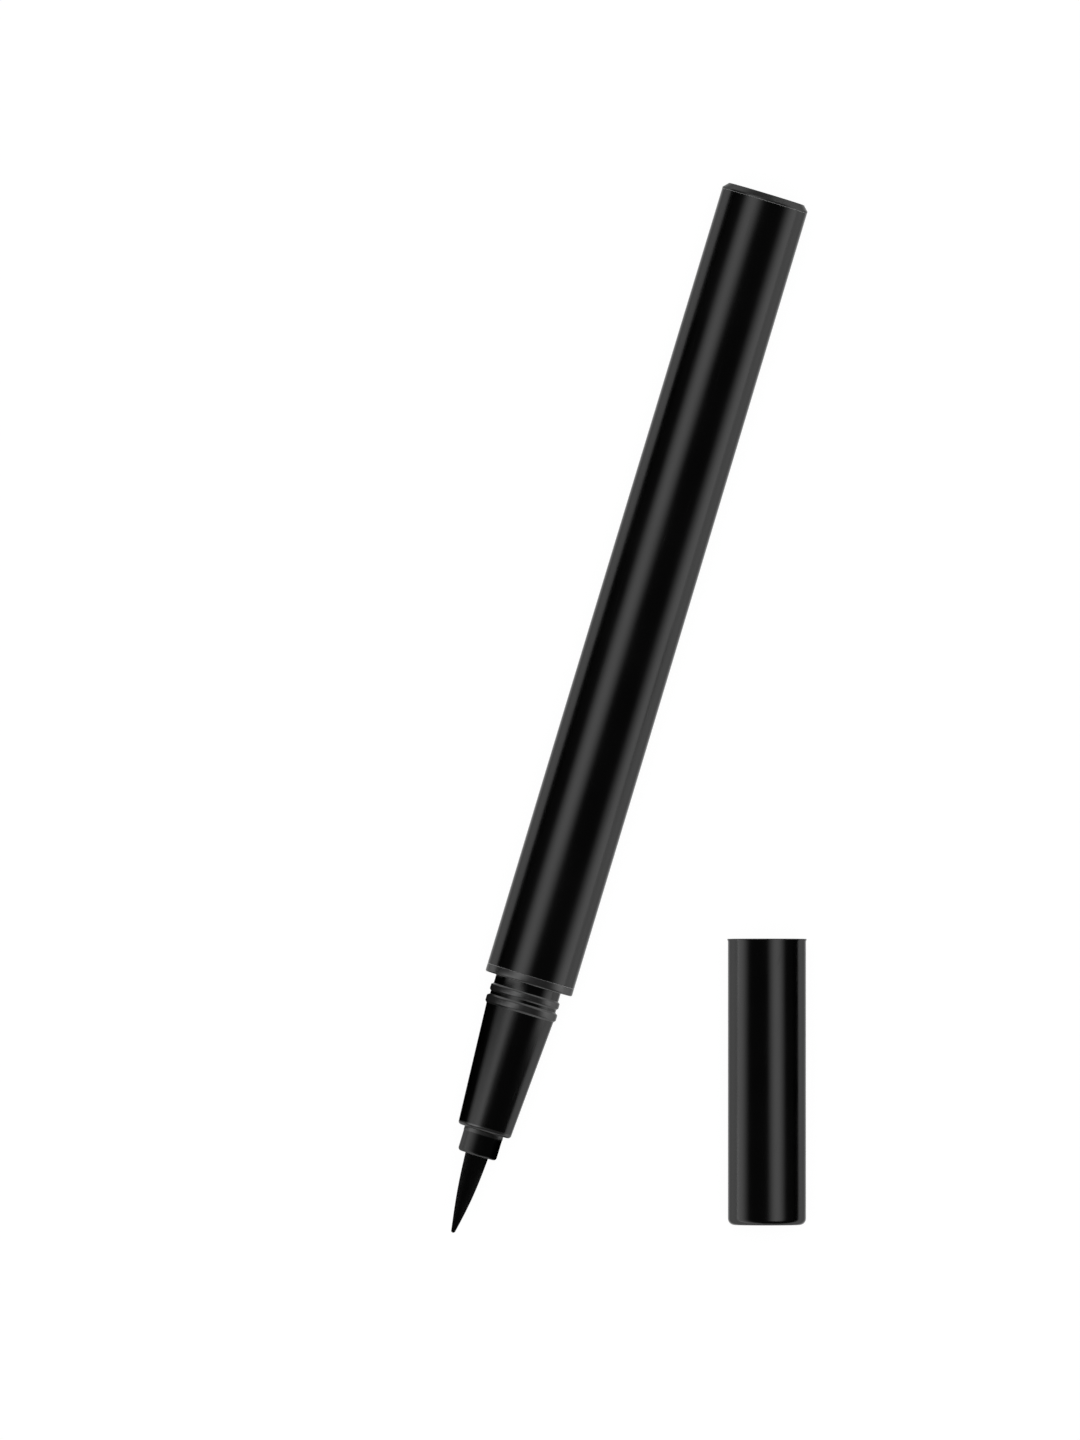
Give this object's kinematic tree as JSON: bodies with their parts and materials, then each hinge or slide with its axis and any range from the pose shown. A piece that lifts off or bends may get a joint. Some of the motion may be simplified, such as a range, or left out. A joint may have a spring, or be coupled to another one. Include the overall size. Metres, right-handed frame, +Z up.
{
  "type": "liquid eyeliner pen",
  "caption": "Slim black liquid eyeliner pen with a ribbed nose, pointed brush nib and inner ink system, with its spring-sealed cap taken off beside it.",
  "frame": {"origin": "on the pen's axis, in the plane of the flange face that the cap's rim meets", "axes": "+Y along the pen from nib to tail, +Z up from the surface that the pen and the cap lie on, +X towards the cap"},
  "size_m": [0.0465, 0.1335, 0.011],
  "materials": {
    "barrel_gloss": "gloss black moulded plastic",
    "tail_plastic": "gloss black moulded plastic with a satin chamfer",
    "nose_plastic": "gloss black moulded plastic with satin ribs",
    "holder_plastic": "gloss black moulded plastic",
    "nib_fibre": "ink-soaked black synthetic bristle",
    "wick_fibre": "bonded fibre rod, ink-soaked",
    "collector_plastic": "natural moulded plastic",
    "stopper_rubber": "moulded elastomer",
    "tank_plastic": "milky polypropylene",
    "ball_steel": "polished stainless steel",
    "cap_lacquer": "thin drawn shell in gloss black lacquer",
    "retainer_plastic": "black moulded plastic",
    "inner_cap_plastic": "black polypropylene",
    "spring_steel": "stainless spring wire"
  },
  "bodies": {
    "pen": {"barrel": "barrel_gloss", "tail_plug": "tail_plastic", "nose": "nose_plastic", "nib_holder": "holder_plastic", "brush_nib": "nib_fibre", "relay_wick": "wick_fibre", "collector": "collector_plastic", "tank_stopper": "stopper_rubber", "ink_tank": "tank_plastic"},
    "mixing_ball": {"mixing_ball": "ball_steel"},
    "cap": {"cap_shell": "cap_lacquer", "inner_cap_retainer": "retainer_plastic", "cap_spring": "spring_steel"},
    "inner_cap": {"inner_cap": "inner_cap_plastic"}
  },
  "joints": [
    {"name": "ball_roll", "type": "slide", "parent": "pen", "child": "mixing_ball", "axis": [0, 1, 0], "range_m": [-0.0234, 0.0234]},
    {"name": "cap_slide", "type": "slide", "parent": "pen", "child": "cap", "axis": [-0.2887, 0.9574, 0], "range_m": [0, 0.032]},
    {"name": "inner_cap_slide", "type": "slide", "parent": "cap", "child": "inner_cap", "axis": [0.2887, -0.9574, 0], "range_m": [0, 0.0015], "stiffness_N_per_m": 300, "springref_m": -0.003, "deforming": ["cap_spring"]}
  ]
}
